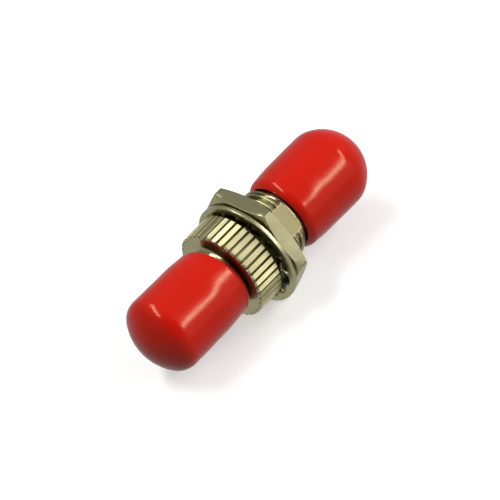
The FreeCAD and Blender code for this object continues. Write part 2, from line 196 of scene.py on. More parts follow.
class DustCapSizes(bpy.types.PropertyGroup):
    """Sizes of the two dust caps."""

    bore_radius: length("Bore radius", "Inner radius of both caps", 4.2764)
    lip_round: length("Lip rounding", "Rounding of the inner edge of the rim", 0.14)
    unevenness: length("Unevenness", "How far the soft walls depart from round", 0.05)
    grip_swell: length("Grip swell", "How far the soft side swells where it grips the barrel", 0.07)
    grip_place: length("Grip place", "How far from the rim that swell lies", 3)
    grip_length: length("Grip length", "How far along the side that swell fades", 1.6)
    front_taper: length("Front taper", "How much narrower the front cap's rim is", 0.26)
    front_rim_round: length("Front rim rounding", "Rounding of the front cap's rim", 0.5)
    front_reach: length("Front reach", "How far the front cap's soft rim creeps along the shank", 0)
    front_slant: length("Front slant", "How far the front cap's rim is cut aslant", 0.94)
    front_dome: length("Front dome", "Height of the front cap's dome", 3.26)
    front_corner: length("Front corner", "Rounding between side and dome, front cap", 2.2)
    front_end_wall: length("Front end wall", "Thickness of the front cap's end", 0.95)
    rear_taper: length("Rear taper", "How much narrower the rear cap's rim is", 0.17)
    rear_rim_round: length("Rear rim rounding", "Rounding of the rear cap's rim", 1.18)
    rear_reach: length("Rear reach", "How far the rear cap's soft rim creeps along the shank", 0.22)
    rear_slant: length("Rear slant", "How far the rear cap's rim is cut aslant", 0)
    rear_dome: length("Rear dome", "Height of the rear cap's dome", 4.6)
    rear_corner: length("Rear corner", "Rounding between side and dome, rear cap", 3.5)
    rear_end_wall: length("Rear end wall", "Thickness of the rear cap's end", 1.0)
    slant_turn: turn("Slant turn", "Side where a slanted rim lies nearest the flange", 80)
    slant_reach: length("Slant reach", "How far along the side a slanted rim is felt", 5)


class FinishColours(bpy.types.PropertyGroup):
    """Colours of the finishes."""

    nickel: colour("Nickel", "Bright nickel plating", "#C6C095")
    nickel_dull: colour("Dull nickel", "Nickel plating where it has gone dull", "#B2AC82")
    nickel_sandy: colour("Sandy nickel", "Nickel plating over the milled flat", "#A69C72")
    # painted shade, with soiling in the body's grooves and thread roots: darkens those, the shank by the
    # flange and the washer's teeth
    recess_shade_and_dirt: colour("Grime", "Dirt in grooves and thread roots", "#3C3824")
    washer: colour("Washer", "Plating of the lock washer", "#CAC59F")
    pin: colour("Pin", "Ground stainless steel", "#C6C4BE")
    sleeve: colour("Sleeve", "Zirconia", "#F1EDE2")
    cap: colour("Cap", "Red vinyl", "#D81B0D")
    cap_deep: colour("Deep cap", "Red vinyl where it is thicker", "#CA160A")
    cap_gloss: colour("Cap gloss", "Tint of the vinyl's shine", "#FFF0C8")
    floor: colour("Floor", "Pale floor", "#F6F6F5")


class StageSettings(bpy.types.PropertyGroup):
    """The camera and the light."""

    azimuth: turn("Azimuth", "Direction that the camera looks from, round the upright", -36.74)
    elevation: turn("Elevation", "Height of the camera above the horizon", 44.2)
    roll: turn("Roll", "Turn of the camera about its own line of sight", 17.7)
    field: length("Field", "Width of the picture at the part", 58.82)
    aim: length("Aim", "Place on the axis that the camera aims at", 1.237)
    aim_right: length("Aim right", "How far the picture's middle lies right of that place", 0.194)
    aim_down: length("Aim down", "How far the picture's middle lies below that place", 0.185)
    floor_gap: length("Floor gap", "Gap between the washer and the floor", 0.1)
    room_shine: strength("Room shine", "Light of the room in reflections", 0.43)
    room_ground: strength("Ground shine", "Light of the ground in reflections", 0.62)
    room_dark: strength("Camera side", "Light of the camera's side of the room", 0.08)
    room_seen: strength("Room seen", "Brightness of the room's wall behind the floor", 0.9)
    room_fill: strength("Room fill", "Light that the room spreads from above", 0.38)
    room_low: strength("Low fill", "Light that the room spreads from below", 0.05)
    top_light: strength("Top light", "Brightness of the strip overhead", 10)
    streak_light: strength("Streak light", "Brightness of the slanting strip that the caps mirror", 16)
    soft_light: strength("Soft light", "Brightness of the softened strip at the side", 3)
    side_light: strength("Side light", "Brightness of the low wall that the caps mirror", 0.4)
    wall_light: strength("Wall light", "Brightness of the pale wall", 0.72)
    card_light: strength("Card light", "Brightness of the card over the knurl", 2.2)
    bright_light: strength("Bright wall", "Brightness of the wall beside the knurl", 1.7)
    table_light: strength("Table light", "Brightness of the table top", 1.7)
    floor_glow: strength("Floor glow", "Brightness of the light table under the floor", 0.4)


class AdapterSettings(bpy.types.PropertyGroup):
    """Everything about the adapter that a user would change."""

    body: PointerProperty(name="Body", description="Turned body", type=TurnedBodySizes)
    inner: PointerProperty(name="Inner pieces", description="Pins, sleeve and holder", type=InnerPieceSizes)
    washer: PointerProperty(name="Washer", description="Lock washer", type=LockWasherSizes)
    nut: PointerProperty(name="Nut", description="Hex nut", type=HexNutSizes)
    cap: PointerProperty(name="Caps", description="Dust caps", type=DustCapSizes)
    finish: PointerProperty(name="Finishes", description="Colours", type=FinishColours)
    stage: PointerProperty(name="Stage", description="Camera and light", type=StageSettings)


# Outlines and meshes

def polar(along, radius, angle):
    """The point at a place along the axis, a distance from it and a turn round it."""
    return Vector((along, -radius * math.sin(angle), radius * math.cos(angle)))


def full_round(steps):
    return [FULL_TURN * step / steps for step in range(steps + 1)]


def arc(centre, start, finish, steps):
    """Points on the shorter arc about a centre, both ends included."""
    first = start - centre
    last = finish - centre
    begin = math.atan2(first.y, first.x)
    sweep = (math.atan2(last.y, last.x) - begin + math.pi) % FULL_TURN - math.pi
    turns = [begin + sweep * step / steps for step in range(steps + 1)]
    return [centre + Vector((math.cos(angle), math.sin(angle))) * first.length for angle in turns]


def rounded(corners):
    """The points of an open outline whose inner corners (along, radius, rounding) become arcs."""
    points = [Vector(corners[0][:2])]
    for before, corner, after in zip(corners, corners[1:], corners[2:]):
        here = Vector(corner[:2])
        back = Vector(before[:2]) - here
        ahead = Vector(after[:2]) - here
        half = back.angle(ahead) / 2
        reach = min(corner[2] / math.tan(half), ROUNDING_SHARE * min(back.length, ahead.length))
        if not corner[2]:
            points.append(here)
            continue
        middle = (back.normalized() + ahead.normalized()).normalized()
        centre = here + middle * reach / math.cos(half)
        points += arc(centre, here + back.normalized() * reach, here + ahead.normalized() * reach, ARC_STEPS)
    points.append(Vector(corners[-1][:2]))
    return points


def dome(base, end, radius, height, corner):
    """A blunt dome from its base to its tip: a corner arc, then a flatter crown that meets it smoothly."""
    rise = radius - corner
    crown = (height ** 2 + rise ** 2 - corner ** 2) / (2 * (height - corner))
    crown_centre = height - crown
    meeting = math.atan2(rise, -crown_centre)
    points = []
    for step in range(DOME_STEPS):
        angle = math.pi / 2 - (math.pi / 2 - meeting) * step / DOME_STEPS
        points.append((corner * math.cos(angle), rise + corner * math.sin(angle)))
    for step in range(DOME_STEPS):
        angle = meeting * (1 - step / DOME_STEPS)
        points.append((crown_centre + crown * math.cos(angle), crown * math.sin(angle)))
    points.append((height, 0))
    return [Vector((base + end * along, across)) for along, across in points]


def lathe(outline, turns):
    """One ring of points for each point (along, radius) of an outline."""
    return [[polar(along, radius, angle) for angle in turns] for along, radius in outline]


def skin(name, rings, closed, capped=False):
    """An object whose faces join neighbouring rings, and the last ring to the first where it is closed.
    Capped, it has a face across the rings' first points and one across their last."""
    columns = len(rings[0])
    rows = len(rings)
    faces = []
    for row in range(rows if closed else rows - 1):
        here = row * columns
        there = (row + 1) % rows * columns
        for column in range(columns - 1):
            faces.append((here + column, here + column + 1, there + column + 1, there + column))
    if capped:
        faces.append([row * columns for row in range(rows)])
        faces.append([row * columns + columns - 1 for row in range(rows)])
    return new_object(name, [point for ring in rings for point in ring], faces)


def new_object(name, points, faces):
    """An object with a sound mesh: points that fall together are merged and faces look outwards."""
    mesh = bpy.data.meshes.new(name)
    mesh.from_pydata(points, [], faces)
    work = bmesh.new()
    work.from_mesh(mesh)
    bmesh.ops.remove_doubles(work, verts=work.verts, dist=MERGE_DISTANCE)
    bmesh.ops.dissolve_degenerate(work, edges=work.edges, dist=MERGE_DISTANCE)
    bmesh.ops.recalc_face_normals(work, faces=work.faces)
    work.to_mesh(mesh)
    work.free()
    thing = bpy.data.objects.new(name, mesh)
    bpy.context.scene.collection.objects.link(thing)
    return thing


def apply_modifiers(thing):
    """Replaces an object's mesh by what its modifiers make of it."""
    shaped = bpy.data.meshes.new_from_object(thing.evaluated_get(bpy.context.evaluated_depsgraph_get()))
    plain = thing.data
    thing.modifiers.clear()
    thing.data = shaped
    bpy.data.meshes.remove(plain)


def cut(thing, cutter):
    """Takes a cutter's shape out of an object, and the cutter away."""
    modifier = thing.modifiers.new("cut", "BOOLEAN")
    modifier.operation = "DIFFERENCE"
    modifier.solver = "EXACT"
    modifier.object = cutter
    apply_modifiers(thing)
    bpy.data.objects.remove(cutter)


def smooth(thing):
    """Shades a piece smoothly, apart from its crisp edges."""
    thing.data.shade_smooth()
    thing.data.set_sharp_from_angle(angle=CREASE)
    modifier = thing.modifiers.new("even_normals", "WEIGHTED_NORMAL")
    modifier.keep_sharp = True


def store_recess(thing, depths):
    """Stores how deep each point of a piece lies in a recess, kept between 0 and 1."""
    attribute = thing.data.attributes.new("recess", "FLOAT", "POINT")
    attribute.data.foreach_set("value", [min(max(depth, 0), 1) for depth in depths])


def place(thing, body, node, slot, *materials):
    """Dresses a piece, and sets it on its body in place of a solid."""
    smooth(thing)
    for dressed in (thing, frame["nodes"][node]):
        dressed.data.materials.clear()
        for material in materials:
            dressed.data.materials.append(material)
    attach(thing, body)
    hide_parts(node)


# Thread

# Half the width of a crest as a share of the pitch, and the slope of the flanks
HALF_CREST = 1 / 16
FLANK_TURN = math.radians(30)


def thread_outline(sizes):
    """One pitch of the thread from the middle of a crest to the next."""
    pitch = sizes.thread_pitch
    crest = sizes.thread_radius
    root = crest - sizes.thread_depth
    land = pitch * HALF_CREST
    flank = sizes.thread_depth * math.tan(FLANK_TURN)
    return rounded([
        (0, crest, 0),
        (land, crest, sizes.edge_round),
        (land + flank, root, 0),
        (pitch - land - flank, root, 0),
        (pitch - land, crest, sizes.edge_round),
        (pitch, crest, 0),
    ])


def thread_surface(outline, sizes, along, angle):
    """Radius of the right-hand thread at a place along and round the shank."""
    phase = (along / sizes.thread_pitch - angle / FULL_TURN) % 1 * sizes.thread_pitch
    for start, finish in zip(outline, outline[1:]):
        if phase <= finish.x:
            share = (phase - start.x) / (finish.x - start.x)
            return start.y + (finish.y - start.y) * share
    return outline[-1].y


def thread_rings(outline, sizes, low, high, turns, radius_at):
    """Rings that wind along the thread, so that its edges stay crisp, cut off square at both ends."""
    pitch = sizes.thread_pitch
    first = math.floor(low / pitch - max(turns) / FULL_TURN)
    last = math.ceil(high / pitch - min(turns) / FULL_TURN)
    rings = []
    for number in range(first, last + 1):
        for along, _ in outline[:-1]:
            ring = []
            for angle in turns:
                place_along = pitch * (number + angle / FULL_TURN) + along
                place_along = min(max(place_along, low), high)
                ring.append(polar(place_along, radius_at(place_along, angle), angle))
            rings.append(ring)
    return rings


# Turned body

# The flat lies where the cosine of the turn away from its middle is more than this
FLAT_FACING = 0.5
# Points this near the flat's plane lie in it
FLAT_TOLERANCE = 1e-6
# The knurl's points lie within this many groove depths of the rim
KNURL_REACH = 1.2
# Painted shade and soiling in the knurl's open grooves, as a share of that in their run-outs and in the
# thread
GROOVE_DARKENING = 0.7
# Places of the body's finishes in its list of materials
MILLED_SLOT = 1
KNURLED_SLOT = 2


def knurl_columns(sizes, groove_mouth, groove_depth):
    """(turn, radius) all round the flange, from the middle of a ridge round to the same place."""
    rim = sizes.flange_radius
    floor = rim - groove_depth
    mouth = groove_mouth / 2
    ground = sizes.groove_floor / 2
    half_pitch = math.pi * rim / sizes.groove_count
    groove = rounded([
        (-half_pitch, rim - sizes.ridge_dip, 0),
        (-mouth, rim, sizes.edge_round),
        (-ground, floor, sizes.edge_round),
        (ground, floor, sizes.edge_round),
        (mouth, rim, sizes.edge_round),
        (half_pitch, rim - sizes.ridge_dip, 0),
    ])
    columns = []
    for number in range(sizes.groove_count):
        middle = FULL_TURN * number / sizes.groove_count
        columns += [(middle + across / rim, radius) for across, radius in groove[:-1]]
    columns.append((columns[0][0] + FULL_TURN, columns[0][1]))
    return columns


def shank_surface(outline, sizes, along, angle):
    """Radius of the shank: its thread, which runs out at the flange, its flat and its end chamfer."""
    crest = sizes.thread_radius
    run_out = crest - sizes.thread_depth * min(1, along / sizes.thread_pitch)
    chamfer = crest - max(0, along - sizes.thread_length + sizes.thread_chamfer)
    facing = math.cos(angle - sizes.flat_turn)
    flat = (crest - sizes.flat_depth) / facing if facing > FLAT_FACING else crest
    return min(max(thread_surface(outline, sizes, along, angle), run_out), chamfer, flat)


def barrel(mouth, web, shoulder, end, sizes):
    """Corners of a barrel from the hole in the web, out round its mouth and back to its shoulder."""
    edge = sizes.edge_round
    return [
        (web, sizes.web_radius, 0),
        (web, sizes.bore_radius, edge),
        (mouth - end * sizes.bore_lead_in, sizes.bore_radius, edge),
        (mouth, sizes.bore_radius + sizes.bore_lead_in, edge),
        (mouth, sizes.barrel_radius - sizes.barrel_edge, edge),
        (mouth - end * sizes.barrel_edge, sizes.barrel_radius, edge),
        (shoulder, sizes.barrel_radius, edge),
        (shoulder, sizes.shoulder_radius, edge),
    ]


def body_rings(sizes):
    """Rings from the web round the front barrel, over flange and shank, and back round the rear barrel."""
    low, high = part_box("adapter_body")
    edge = sizes.edge_round
    mating_plane = (low.x + high.x) / 2
    flange_front = -sizes.flange_width
    web_front = mating_plane - sizes.web_length / 2
    web_rear = mating_plane + sizes.web_length / 2
    front_shoulder = flange_front - sizes.shoulder_length
    rear_shoulder = sizes.thread_length + sizes.shoulder_length
    face = sizes.flange_radius - sizes.groove_depth - 2 * edge
    front = rounded(barrel(low.x, web_front, front_shoulder, FRONT, sizes) + [
        (flange_front, sizes.shoulder_radius, sizes.root_fillet),
        (flange_front, face, 0),
    ])
    rear = rounded([(sizes.thread_length, sizes.shoulder_radius, 0)]
                   + barrel(high.x, web_rear, rear_shoulder, REAR, sizes)[::-1])
    columns = knurl_columns(sizes, sizes.groove_mouth, sizes.groove_depth)
    notched = knurl_columns(sizes, sizes.notch_mouth, sizes.notch_depth)
    turns = [angle for angle, _ in columns]
    # away from the knurl the columns stand evenly, so that turned faces shade without stripes
    even_turns = [turns[0] + FULL_TURN * number / (len(turns) - 1) for number in range(len(turns))]
    outline = thread_outline(sizes)
    rim = [
        (flange_front, edge, notched),
        (flange_front + edge, 0, notched),
        (flange_front + sizes.notch_length, 0, columns),
        (-edge, 0, columns),
        (0, edge, columns),
    ]
    rings = lathe(front[:-1], even_turns)
    rings += lathe(front[-1:], turns)
    rings += [[polar(along, radius - drop, angle) for angle, radius in row] for along, drop, row in rim]
    rings += lathe([(0, face)], turns)
    rings += thread_rings(outline, sizes, 0, sizes.thread_length, even_turns,
                          lambda along, angle: shank_surface(outline, sizes, along, angle))
    return rings + lathe(rear, even_turns)


def add_prism(points, faces, first_end, last_end):
    """Adds a prism between two ends that have as many corners to the points and faces of a mesh."""
    first = len(points)
    count = len(first_end)
    points += first_end + last_end
    faces.append([first + corner for corner in range(count)])
    faces.append([first + count + corner for corner in range(count)])
    for corner in range(count):
        here = first + corner
        following = first + (corner + 1) % count
        faces.append((here, following, following + count, here + count))


def body_cutter(sizes):
    """The keyways' boxes and the pins' holes, as one object."""
    low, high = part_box("adapter_body")
    points = []
    faces = []
    reach = 2 * sizes.barrel_radius
    width = sizes.keyway_width / 2
    corners = ((-width, 0), (width, 0), (width, reach), (-width, reach))
    front_slot = (low.x - width, low.x + sizes.keyway_length)
    rear_slot = (high.x - sizes.keyway_length, high.x + width)
    for slot in (front_slot, rear_slot):
        add_prism(points, faces, *[[(along, side, up) for side, up in corners] for along in slot])
    for end in ("front", "rear"):
        pin_low, pin_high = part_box(f"{end}_bayonet_pin_left")
        middle = (pin_low + pin_high) / 2
        radius = (pin_high.x - pin_low.x) / 2
        rim = [
            (middle.x + radius * math.cos(angle), radius * math.sin(angle))
            for angle in full_round(ROUND_STEPS // 2)[:-1]
        ]
        add_prism(points, faces, *[[(along, side, up) for along, up in rim] for side in (-reach, reach)])
    return new_object("body_cutter", points, faces)


def mark_recess(thing, sizes):
    """Stores how deep each point of the body lies in a groove of the knurl or the thread, and how near the
    flange it lies at the shank's root; the materials paint shade and soiling by it.
    """
    outline = thread_outline(sizes)
    depths = []
    for vertex in thing.data.vertices:
        along, across, up = vertex.co
        radius = math.hypot(across, up)
        depth = 0
        if on_knurl(vertex.co, sizes):
            run_out = along < sizes.notch_length / 2 - sizes.flange_width
            full = sizes.notch_depth if run_out else sizes.groove_depth / GROOVE_DARKENING
            depth = (sizes.flange_radius - radius) / full
        elif 0 <= along < 2 * sizes.thread_pitch:
            # the shank beside the flange and the inner flange face behind it are darkened as painted shade
            depth = 1 - along / (2 * sizes.thread_pitch)
        if 0 < along < sizes.thread_length and radius < sizes.thread_radius + MERGE_DISTANCE:
            angle = math.atan2(-across, up)
            if radius >= thread_surface(outline, sizes, along, angle) - MERGE_DISTANCE:
                depth = max(depth, (sizes.thread_radius - radius) / sizes.thread_depth)
            if on_flat(vertex.co, sizes):
                depth = 0
        depths.append(depth)
    store_recess(thing, depths)


def on_flat(point, sizes):
    """Whether a point lies in the shank's flat."""
    above = point.dot(polar(0, 1, sizes.flat_turn)) - sizes.thread_radius + sizes.flat_depth
    return 0 <= point.x <= sizes.thread_length and abs(above) < FLAT_TOLERANCE


def on_knurl(point, sizes):
    """Whether a point lies on the ridges or grooves of the flange."""
    below = sizes.flange_radius - math.hypot(point.y, point.z)
    return -sizes.flange_width <= point.x <= 0 and below < KNURL_REACH * sizes.groove_depth


def make_body(settings):
    sizes = settings.body
    finish = settings.finish
    body = skin("turned_body", body_rings(sizes), closed=True)
    cut(body, body_cutter(sizes))
    mark_recess(body, sizes)
    place(body, "adapter", "adapter_body", "nickel_plated_brass",
          nickel_plated_brass_turned(finish),
          nickel_plated_brass_milled(finish),
          nickel_plated_brass_knurled(finish))
    for polygon in body.data.polygons:
        corners = [body.data.vertices[number].co for number in polygon.vertices]
        if all(on_flat(corner, sizes) for corner in corners):
            polygon.material_index = MILLED_SLOT
            polygon.use_smooth = False
        if all(on_knurl(corner, sizes) for corner in corners):
            polygon.material_index = KNURLED_SLOT


# Pins, sleeve and holder

def make_pin(node, settings):
    """A short round pin with a rounded tip, pressed into a barrel from outside."""
    low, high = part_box(node)
    middle = (low + high) / 2
    side = math.copysign(1, middle.y)
    inner, tip = sorted((abs(low.y), abs(high.y)))
    radius = (high.x - low.x) / 2
    edge = settings.inner.pin_edge
    pressed_edge = edge / 3
    outline = rounded([(inner, 0, 0), (inner, radius, pressed_edge), (tip, radius, edge), (tip, 0, 0)])
    rings = lathe(outline, full_round(ROUND_STEPS // 2))
    pin = skin(node.replace("bayonet_pin", "pin"), rings, closed=False)
    upright = Matrix.Rotation(side * math.pi / 2, 4, "Z")
    pin.data.transform(Matrix.Translation((middle.x, 0, 0)) @ upright)
    place(pin, "adapter", node, "stainless_steel", stainless_steel_ground(settings.finish))


def make_sleeve(settings):
    """A thin ceramic tube with one slit along its top."""
    sizes = settings.inner
    low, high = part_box("alignment_sleeve")
    inner = FERRULE_RADIUS * MM
    outer = high.y
    edge = sizes.sleeve_edge
    middle = (low.x + high.x) / 2
    outline = rounded([
        (middle, inner, 0), (low.x, inner, edge), (low.x, outer, edge),
        (high.x, outer, edge), (high.x, inner, edge), (middle, inner, 0),
    ])[:-1]
    rings = []
    for along, radius in outline:
        slit = math.asin(sizes.sleeve_slit / 2 / radius)
        turns = [slit + (FULL_TURN - 2 * slit) * step / ROUND_STEPS for step in range(ROUND_STEPS + 1)]
        rings.append([polar(along, radius, angle) for angle in turns])
    sleeve = skin("split_sleeve", rings, closed=True, capped=True)
    place(sleeve, "adapter", "alignment_sleeve", "zirconia_ceramic", zirconia_ground(settings.finish))


def make_holder(name, end, settings):
    """Half of the sleeve's holder: a tube with a collar and a countersunk end hole."""
    sizes = settings.inner
    node = f"{name}_sleeve_holder"
    low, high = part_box(node)
    body_low, body_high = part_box("adapter_body")
    mating_plane = (body_low.x + body_high.x) / 2
    inner_end, outer_end = (high.x, low.x) if end == FRONT else (low.x, high.x)
    collar_start = mating_plane + end * settings.body.web_length / 2
    collar_end = collar_start + end * sizes.holder_collar
    pocket_end = outer_end - end * sizes.holder_end_wall
    middle = (inner_end + pocket_end) / 2
    edge = sizes.holder_edge
    outline = rounded([
        (middle, sizes.holder_bore, 0),
        (inner_end, sizes.holder_bore, edge),
        (inner_end, sizes.holder_radius, edge),
        (collar_start, sizes.holder_radius, edge),
        (collar_start, high.y, edge),
        (collar_end, high.y, edge),
        (collar_end, sizes.holder_radius, edge),
        (outer_end, sizes.holder_radius, 2 * edge),
        (outer_end, sizes.holder_entry + sizes.holder_countersink, edge),
        (outer_end - end * sizes.holder_countersink, sizes.holder_entry, edge),
        (pocket_end, sizes.holder_entry, edge),
        (pocket_end, sizes.holder_bore, edge),
        (middle, sizes.holder_bore, 0),
    ])
    holder = skin(f"{name}_holder", lathe(outline, full_round(ROUND_STEPS)), closed=False)
    place(holder, "adapter", node, "nickel_plated_brass", nickel_plated_brass_turned(settings.finish))


# Lock washer

def washer_sheet(sizes):
    """The washer's middle surface: a flat ring and teeth that twist out of it."""
    points = []
    faces = []
    inner = sizes.radius - sizes.ring_width
    across_steps = 8
    ring_steps = 4
    tooth_steps = 8
    pitch = FULL_TURN / sizes.tooth_count
    half = sizes.tooth_width / 2
    tip = inner - sizes.tooth_length
    across = [half * (2 * step / across_steps - 1) for step in range(across_steps + 1)]
    tooth_turns = [math.asin(side / inner) for side in across]
    gap = pitch - 2 * tooth_turns[-1]
    gap_turns = [tooth_turns[-1] + gap * step / across_steps for step in range(1, across_steps)]
    pitch_turns = tooth_turns + gap_turns
    columns = [number * pitch + angle for number in range(sizes.tooth_count) for angle in pitch_turns]
    for ring in range(ring_steps + 1):
        radius = inner + sizes.ring_width * ring / ring_steps
        points += [polar(0, radius, angle) for angle in columns]
    count = len(columns)
    for ring in range(ring_steps):
        for column in range(count):
            here = ring * count
            following = (column + 1) % count
            faces.append((here + column, here + following, here + count + following, here + count + column))
    for number in range(sizes.tooth_count):
        stand = Matrix.Rotation(number * pitch, 3, "X")
        first = len(points)
        for step in range(tooth_steps + 1):
            share = step / tooth_steps
            # the twist sets in over the first third of the tooth
            set_in = min(1, 3 * share)
            twist = sizes.tooth_twist * set_in ** 2 * (3 - 2 * set_in)
            for side in across:
                root = math.sqrt(inner ** 2 - side ** 2)
                height = root + (tip - root) * share
                points.append(stand @ Vector((side * math.sin(twist), -side * math.cos(twist), height)))
        wide = across_steps + 1
        for step in range(tooth_steps):
            for column in range(across_steps):
                here = first + step * wide + column
                faces.append((here, here + wide, here + wide + 1, here + 1))
    return points, faces


def mark_teeth(washer, sizes):
    """Stores how far down a tooth each point of the flat washer lies, which sets the painted shade on the
    teeth.
    """
    root = sizes.radius - sizes.ring_width
    distances = [math.hypot(vertex.co.y, vertex.co.z) for vertex in washer.data.vertices]
    store_recess(washer, [(root - distance) / sizes.shade_reach for distance in distances])


def make_washer(settings):
    sizes = settings.washer
    low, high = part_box("lock_washer")
    washer = new_object("toothed_washer", *washer_sheet(sizes))
    thick = washer.modifiers.new("thickness", "SOLIDIFY")
    thick.thickness = sizes.thickness
    thick.offset = 0
    thick.use_even_offset = True
    soft = washer.modifiers.new("edges", "BEVEL")
    soft.width = sizes.edge_round
    soft.segments = 2
    apply_modifiers(washer)
    mark_teeth(washer, sizes)
    hinge = Vector((0, math.cos(sizes.lean_turn), math.sin(sizes.lean_turn)))
    shift = polar((low.x + high.x) / 2, sizes.shift, sizes.shift_turn)
    lean = Matrix.Rotation(sizes.lean, 4, hinge)
    spin = Matrix.Rotation(sizes.first_tooth, 4, "X")
    washer.data.transform(Matrix.Translation(shift) @ lean @ spin)
    place(washer, "washer", "lock_washer", "plated_spring_steel",
          spring_steel_stamped_plated(settings.finish))


# Hex nut

def nut_turns():
    """Turns round the nut, closest together at its corners."""
    steps = 12
    shares = [math.sin(math.pi / 2 * step / steps) / 2 for step in range(1 - steps, steps + 1)]
    turns = [SIXTH_TURN * (side + share) for side in range(6) for share in shares]
    return [turns[-1] - FULL_TURN] + turns


def hexagon(angle, sizes):
    """Radius of the hexagon, with rounded corners and a flat towards +Z."""
    flat = sizes.across_flats / 2
    rounding = sizes.corner_round
    half = SIXTH_TURN / 2
    off_flat = (angle + half) % SIXTH_TURN - half
    off_corner = half - abs(off_flat)
    centre = (flat - rounding) / math.cos(half)
    if off_corner < math.atan2(rounding * math.sin(half), centre + rounding * math.cos(half)):
        aside = centre * math.sin(off_corner)
        return centre * math.cos(off_corner) + math.sqrt(rounding ** 2 - aside ** 2)
    return flat / math.cos(off_flat)


def make_nut(settings):
    sizes = settings.nut
    thread = settings.body
    low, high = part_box("hex_nut")
    bore = thread.thread_radius + sizes.thread_clearance
    mouth = bore + sizes.countersink
    start = sizes.across_flats / 2 - sizes.chamfer_start
    turns = nut_turns()
    outlines = []
    for angle in turns:
        radius = hexagon(angle, sizes)
        chamfer = (radius - start) * math.tan(sizes.chamfer_turn)
        outlines.append(rounded([
            (low.x, mouth, 0),
            (low.x, start, sizes.edge_round),
            (low.x + chamfer, radius, sizes.edge_round),
            (high.x - chamfer, radius, sizes.edge_round),
            (high.x, start, sizes.edge_round),
            (high.x, mouth, 0),
        ]))
    rings = [
        [polar(along, radius, angle) for (along, radius), angle in zip(row, turns)]
        for row in zip(*outlines)
    ]
    outline = thread_outline(thread)

    def bore_surface(along, angle):
        """The nut's thread, opened out by the countersink at both ends."""
        opening = mouth - min(along - low.x, high.x - along)
        return max(thread_surface(outline, thread, along, angle) + sizes.thread_clearance, opening)

    rings += thread_rings(outline, thread, low.x, high.x, turns, bore_surface)[::-1]
    nut = skin("shank_nut", rings, closed=True)
    place(nut, "nut", "hex_nut", "nickel_plated_brass", nickel_plated_brass_drawn(settings.finish))


# Dust caps

# Length of the waves in a cap's soft wall
WAVE_LENGTH = 6 * MM


def cap_side(base, rim, end, radius, taper, rim_round, sizes):
    """The side from the dome's base to the bore: a slight belly, a rounded rim and a small lip."""
    start = rim + end * rim_round
    narrow = radius - taper
    points = []
    for step in range(SIDE_STEPS):
        share = step / SIDE_STEPS
        drop = taper * share ** 2
        points.append(Vector((base + (start - base) * share, radius - drop)))
    lip = sizes.lip_round
    room = narrow - sizes.bore_radius - lip
    last = math.acos(max(0, 1 - room / rim_round))
    for step in range(SIDE_STEPS + 1):
        angle = last * step / SIDE_STEPS
        drop = rim_round * (1 - math.cos(angle))
        points.append(Vector((start - end * rim_round * math.sin(angle), narrow - drop)))
    lip_centre = Vector((points[-1].x + end * lip, sizes.bore_radius + lip))
    points += arc(lip_centre, lip_centre - Vector((end * lip, 0)), lip_centre - Vector((0, lip)), ARC_STEPS)
    return points


def make_cap(name, end, settings):
    """A cap dipped over a former: a rounded rim, a slightly tapered and uneven side and a blunt dome."""
    sizes = settings.cap
    node = f"{name}_dust_cap"
    low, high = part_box(node)
    words = ("reach", "dome", "corner", "end_wall", "taper", "rim_round", "slant")
    own_sizes = [getattr(sizes, f"{name}_{word}") for word in words]
    reach, height, corner, wall, taper, rim_round, slant = own_sizes
    tip, rim = (low.x, high.x) if end == FRONT else (high.x, low.x)
    rim -= end * reach
    radius = high.z
    base = tip - end * height
    outside = dome(base, end, radius, height, corner)[::-1]
    inside = dome(base, end, sizes.bore_radius, height - wall, corner - wall)
    outline = outside[:-1] + cap_side(base, rim, end, radius, taper, rim_round, sizes) + inside
    cap = skin(f"{name}_cap", lathe(outline, full_round(2 * ROUND_STEPS)), closed=False)
    for vertex in cap.data.vertices:
        away = math.hypot(vertex.co.y, vertex.co.z)
        share = min(max((away - sizes.bore_radius) / (radius - sizes.bore_radius), 0), 1)
        swell = noise.noise(vertex.co / WAVE_LENGTH) * sizes.unevenness * share
        off_grip = (abs(vertex.co.x - rim) - sizes.grip_place) / sizes.grip_length
        swell += sizes.grip_swell * math.exp(-off_grip ** 2) * share
        vertex.co.yz *= 1 + swell / radius
        nearness = max(0, 1 - abs(vertex.co.x - rim) / sizes.slant_reach)
        facing = vertex.co.normalized().dot(polar(0, 1, sizes.slant_turn)) if away else 0
        vertex.co.x += slant * nearness * facing
    place(cap, f"{name}_cap", node, "red_vinyl", vinyl_dip_moulded_red(settings.finish))


# Materials

# Inputs and output of a colour mix
MIX_SHARE = 0
MIX_FIRST = 6
MIX_SECOND = 7
MIX_RESULT = 2
# Nearly all of a noise pattern lies between these values
NOISE_LOW = 0.3
NOISE_HIGH = 0.7
# Share of the metal that painted shade and soiling hide at the bottom of a recess
DARKENING_COVER = 0.85


def add_node(tree, kind, fields=None, inputs=None):
    """Adds a node, sets its fields, and sets its inputs or links them to other nodes' outputs."""
    node = tree.nodes.new(kind)
    for name, value in (fields or {}).items():
        setattr(node, name, value)
    for key, value in (inputs or {}).items():
        if isinstance(value, bpy.types.NodeSocket):
            tree.links.new(value, node.inputs[key])
        else:
            node.inputs[key].default_value = value
    return node


def opaque(values):
    return (*values, 1)


def shaded(values, share):
    return [share * value for value in values]


def surface(make):
    """Makes a material when a piece first asks for it, and names it for the function that makes it."""

    @functools.wraps(make)
    def find(*values):
        material = bpy.data.materials.get(make.__name__)
        if not material:
            material = bpy.data.materials.new(make.__name__)
            material.use_nodes = True
            tree = material.node_tree
            tree.nodes.clear()
            spot = add_node(tree, "ShaderNodeTexCoord").outputs["Object"]
            make(tree, spot, *values)
        return material

    return find


